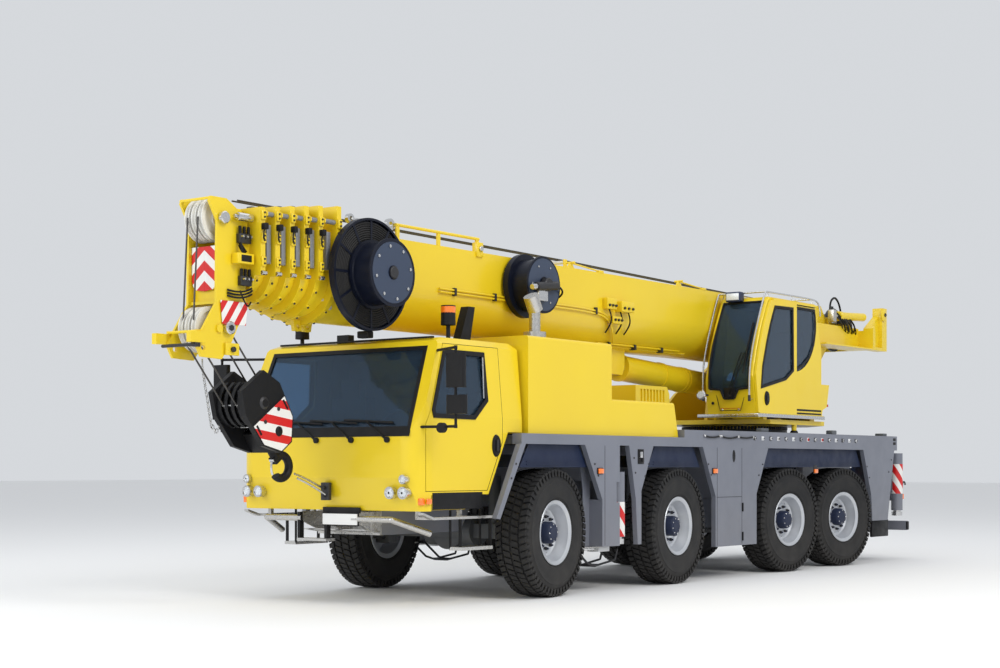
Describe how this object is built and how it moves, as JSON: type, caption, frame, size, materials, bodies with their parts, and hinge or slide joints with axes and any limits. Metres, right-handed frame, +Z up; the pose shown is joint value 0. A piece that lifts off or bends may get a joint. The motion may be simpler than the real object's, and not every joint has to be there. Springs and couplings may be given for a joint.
{
  "type": "four-axle mobile crane",
  "caption": "All-terrain mobile crane with a telescopic boom laid over its driver's cab, a slewing crane cab, outriggers, steered wheels and a tied-back hook block.",
  "frame": {"origin": "on the ground, at the middle of the overall length and width", "axes": "+X to the vehicle's left, -Y to the front, +Z up"},
  "size_m": [3.49, 13.8, 3.96],
  "materials": {
    "yellow_paint": "satin",
    "yellow_cover": "satin",
    "grey_paint": "satin",
    "grey_panel": "satin",
    "dark_guard": "matte",
    "cab_glass": "gloss",
    "trim_black": "matte",
    "engine_grey": "matte",
    "stainless": "satin",
    "tyre_rubber": "matte",
    "dark_steel": "satin",
    "reel_navy": "satin",
    "sheave_white": "satin",
    "rope_steel": "matte",
    "lamp": "gloss"
  },
  "bodies": {
    "carrier": {"carrier_frame": "grey_paint", "side_panels": "grey_panel", "mudguards": "dark_guard", "axle_beams": "grey_paint", "driver_cab": "yellow_cover", "cab_glass": "cab_glass", "cab_interior": "trim_black", "engine_cover": "yellow_cover", "engine_block": "engine_grey", "exhaust_stack": "stainless", "roof_fittings": "lamp", "front_bumper": "trim_black", "mirrors": "trim_black", "lamps": "lamp"},
    "knuckle_1_left": {"knuckle_1_left": "grey_paint"},
    "wheel_1_left": {"wheel_1_left": "tyre_rubber"},
    "knuckle_1_right": {"knuckle_1_right": "grey_paint"},
    "wheel_1_right": {"wheel_1_right": "tyre_rubber"},
    "knuckle_2_left": {"knuckle_2_left": "grey_paint"},
    "wheel_2_left": {"wheel_2_left": "tyre_rubber"},
    "knuckle_2_right": {"knuckle_2_right": "grey_paint"},
    "wheel_2_right": {"wheel_2_right": "tyre_rubber"},
    "knuckle_3_left": {"knuckle_3_left": "grey_paint"},
    "wheel_3_left": {"wheel_3_left": "tyre_rubber"},
    "knuckle_3_right": {"knuckle_3_right": "grey_paint"},
    "wheel_3_right": {"wheel_3_right": "tyre_rubber"},
    "knuckle_4_left": {"knuckle_4_left": "grey_paint"},
    "wheel_4_left": {"wheel_4_left": "tyre_rubber"},
    "knuckle_4_right": {"knuckle_4_right": "grey_paint"},
    "wheel_4_right": {"wheel_4_right": "tyre_rubber"},
    "cab_door_left": {"cab_door_left": "yellow_cover"},
    "cab_door_right": {"cab_door_right": "yellow_cover"},
    "outrigger_front_left": {"outrigger_front_left": "grey_paint"},
    "jack_front_left": {"jack_front_left": "stainless"},
    "outrigger_front_right": {"outrigger_front_right": "grey_paint"},
    "jack_front_right": {"jack_front_right": "stainless"},
    "outrigger_rear_left": {"outrigger_rear_left": "grey_paint"},
    "jack_rear_left": {"jack_rear_left": "stainless"},
    "outrigger_rear_right": {"outrigger_rear_right": "grey_paint"},
    "jack_rear_right": {"jack_rear_right": "stainless"},
    "superstructure": {"turntable": "yellow_paint", "winch": "dark_steel", "tail_frame": "yellow_paint"},
    "crane_cab": {"crane_cab": "yellow_cover", "crane_cab_glass": "cab_glass", "crane_cab_seat": "trim_black"},
    "crane_cab_door": {"crane_cab_door": "yellow_cover"},
    "boom": {"boom_base": "yellow_paint", "hose_reels": "reel_navy"},
    "telescope_1": {"telescope_1": "yellow_paint"},
    "telescope_2": {"telescope_2": "yellow_paint"},
    "telescope_3": {"telescope_3": "yellow_paint"},
    "telescope_4": {"telescope_4": "yellow_paint"},
    "telescope_5": {"telescope_5": "yellow_paint"},
    "telescope_6": {"telescope_6": "yellow_paint", "head_sheaves": "sheave_white"},
    "luff_cylinder": {"luff_cylinder": "yellow_paint"},
    "luff_rod": {"luff_rod": "stainless"},
    "hook": {"hook_block": "dark_steel", "hoist_ropes": "rope_steel"}
  },
  "joints": [
    {"name": "steer_1_left", "type": "hinge", "parent": "carrier", "child": "knuckle_1_left", "pos_m": [1.1, -2.7, 0.69], "axis": [0, 0, 1], "range_deg": [-38.45, 25.55]},
    {"name": "roll_1_left", "type": "hinge", "parent": "knuckle_1_left", "child": "wheel_1_left", "pos_m": [1.1, -2.7, 0.69], "axis": [0.9937, 0.1123, 0], "continuous": true},
    {"name": "steer_1_right", "type": "hinge", "parent": "carrier", "child": "knuckle_1_right", "pos_m": [-1.1, -2.7, 0.69], "axis": [0, 0, 1], "range_deg": [-38.46, 25.56]},
    {"name": "roll_1_right", "type": "hinge", "parent": "knuckle_1_right", "child": "wheel_1_right", "pos_m": [-1.1, -2.7, 0.69], "axis": [0.9937, 0.1123, 0], "continuous": true},
    {"name": "steer_2_left", "type": "hinge", "parent": "carrier", "child": "knuckle_2_left", "pos_m": [1.1, -0.135, 0.69], "axis": [0, 0, 1], "range_deg": [-18.55, 12.33]},
    {"name": "roll_2_left", "type": "hinge", "parent": "knuckle_2_left", "child": "wheel_2_left", "pos_m": [1.1, -0.135, 0.69], "axis": [0.9985, 0.0543, 0], "continuous": true},
    {"name": "steer_2_right", "type": "hinge", "parent": "carrier", "child": "knuckle_2_right", "pos_m": [-1.1, -0.135, 0.69], "axis": [0, 0, 1], "range_deg": [-18.55, 12.33]},
    {"name": "roll_2_right", "type": "hinge", "parent": "knuckle_2_right", "child": "wheel_2_right", "pos_m": [-1.1, -0.135, 0.69], "axis": [0.9985, 0.0543, 0], "continuous": true},
    {"name": "steer_3_left", "type": "hinge", "parent": "carrier", "child": "knuckle_3_left", "pos_m": [1.1, 2.791, 0.69], "axis": [0, 0, 1], "range_deg": [-18.48, 31.52]},
    {"name": "roll_3_left", "type": "hinge", "parent": "knuckle_3_left", "child": "wheel_3_left", "pos_m": [1.1, 2.791, 0.69], "axis": [0.9935, -0.1136, 0], "continuous": true},
    {"name": "steer_3_right", "type": "hinge", "parent": "carrier", "child": "knuckle_3_right", "pos_m": [-1.1, 2.791, 0.69], "axis": [0, 0, 1], "range_deg": [-18.49, 31.53]},
    {"name": "roll_3_right", "type": "hinge", "parent": "knuckle_3_right", "child": "wheel_3_right", "pos_m": [-1.1, 2.791, 0.69], "axis": [0.9935, -0.1136, 0], "continuous": true},
    {"name": "steer_4_left", "type": "hinge", "parent": "carrier", "child": "knuckle_4_left", "pos_m": [1.1, 4.455, 0.69], "axis": [0, 0, 1], "range_deg": [-20.64, 39.36]},
    {"name": "roll_4_left", "type": "hinge", "parent": "knuckle_4_left", "child": "wheel_4_left", "pos_m": [1.1, 4.455, 0.69], "axis": [0.9867, -0.1626, 0], "continuous": true},
    {"name": "steer_4_right", "type": "hinge", "parent": "carrier", "child": "knuckle_4_right", "pos_m": [-1.1, 4.455, 0.69], "axis": [0, 0, 1], "range_deg": [-20.65, 39.37]},
    {"name": "roll_4_right", "type": "hinge", "parent": "knuckle_4_right", "child": "wheel_4_right", "pos_m": [-1.1, 4.455, 0.69], "axis": [0.9867, -0.1626, 0], "continuous": true},
    {"name": "cab_door_left_hinge", "type": "hinge", "parent": "carrier", "child": "cab_door_left", "pos_m": [1.243, -4.722, 1.8], "axis": [0, 0, -1], "range_deg": [0, 70]},
    {"name": "cab_door_right_hinge", "type": "hinge", "parent": "carrier", "child": "cab_door_right", "pos_m": [-1.243, -4.722, 1.8], "axis": [0, 0, 1], "range_deg": [0, 70]},
    {"name": "extend_front_left", "type": "slide", "parent": "carrier", "child": "outrigger_front_left", "axis": [1, 0, 0], "range_m": [0, 1.85]},
    {"name": "lower_front_left", "type": "slide", "parent": "outrigger_front_left", "child": "jack_front_left", "axis": [0, 0, -1], "range_m": [0, 0.56]},
    {"name": "extend_front_right", "type": "slide", "parent": "carrier", "child": "outrigger_front_right", "axis": [-1, 0, 0], "range_m": [0, 1.85]},
    {"name": "lower_front_right", "type": "slide", "parent": "outrigger_front_right", "child": "jack_front_right", "axis": [0, 0, -1], "range_m": [0, 0.56]},
    {"name": "extend_rear_left", "type": "slide", "parent": "carrier", "child": "outrigger_rear_left", "axis": [1, 0, 0], "range_m": [0, 1.85]},
    {"name": "lower_rear_left", "type": "slide", "parent": "outrigger_rear_left", "child": "jack_rear_left", "axis": [0, 0, -1], "range_m": [0, 0.7]},
    {"name": "extend_rear_right", "type": "slide", "parent": "carrier", "child": "outrigger_rear_right", "axis": [-1, 0, 0], "range_m": [0, 1.85]},
    {"name": "lower_rear_right", "type": "slide", "parent": "outrigger_rear_right", "child": "jack_rear_right", "axis": [0, 0, -1], "range_m": [0, 0.7]},
    {"name": "slew", "type": "hinge", "parent": "carrier", "child": "superstructure", "pos_m": [0, 3.7, 1.915], "axis": [0, 0, 1], "continuous": true},
    {"name": "crane_cab_tilt", "type": "hinge", "parent": "superstructure", "child": "crane_cab", "pos_m": [0.9, 4, 2.07], "axis": [-1, 0, 0], "range_deg": [0, 20]},
    {"name": "crane_cab_door_slide", "type": "slide", "parent": "crane_cab", "child": "crane_cab_door", "axis": [0, 1, 0], "range_m": [0, 0.68]},
    {"name": "luff", "type": "hinge", "parent": "superstructure", "child": "boom", "pos_m": [0, 5.05, 3.2], "axis": [-1, 0, 0], "range_deg": [0, 82]},
    {"name": "extend_boom_1", "type": "slide", "parent": "boom", "child": "telescope_1", "axis": [0, -1, 0], "range_m": [0, 8.1]},
    {"name": "extend_boom_2", "type": "slide", "parent": "telescope_1", "child": "telescope_2", "axis": [0, -1, 0], "range_m": [0, 8.1]},
    {"name": "extend_boom_3", "type": "slide", "parent": "telescope_2", "child": "telescope_3", "axis": [0, -1, 0], "range_m": [0, 8.1]},
    {"name": "extend_boom_4", "type": "slide", "parent": "telescope_3", "child": "telescope_4", "axis": [0, -1, 0], "range_m": [0, 8.1]},
    {"name": "extend_boom_5", "type": "slide", "parent": "telescope_4", "child": "telescope_5", "axis": [0, -1, 0], "range_m": [0, 8.1]},
    {"name": "extend_boom_6", "type": "slide", "parent": "telescope_5", "child": "telescope_6", "axis": [0, -1, 0], "range_m": [0, 8.1]},
    {"name": "luff_cylinder_swing", "type": "hinge", "parent": "superstructure", "child": "luff_cylinder", "pos_m": [0, 3.4, 2.504], "axis": [-1, 0, 0], "range_deg": [-0.01, 92.06]},
    {"name": "luff_rod_slide", "type": "slide", "parent": "luff_cylinder", "child": "luff_rod", "axis": [0, -0.9982, 0.0599], "range_m": [-0.0005, 2.24838]},
    {"name": "hook_swing", "type": "hinge", "parent": "telescope_6", "child": "hook", "pos_m": [0, -6.5, 2.69], "axis": [1, 0, 0], "range_deg": [-0.01, 24.62]}
  ],
  "couplings": [
    {"joint": "steer_1_right", "follows": "steer_1_left", "ratio": 1},
    {"joint": "steer_2_left", "follows": "steer_1_left", "ratio": 0.48217},
    {"joint": "steer_2_right", "follows": "steer_1_left", "ratio": 0.48217},
    {"joint": "steer_3_right", "follows": "steer_3_left", "ratio": 1},
    {"joint": "steer_4_right", "follows": "steer_4_left", "ratio": 1},
    {"joint": "luff_cylinder_swing", "follows": "luff", "ratio": 1.1224},
    {"joint": "luff_rod_slide", "follows": "luff", "m_per_rad": 1.5703},
    {"joint": "hook_swing", "follows": "luff", "ratio": 0.3}
  ]
}
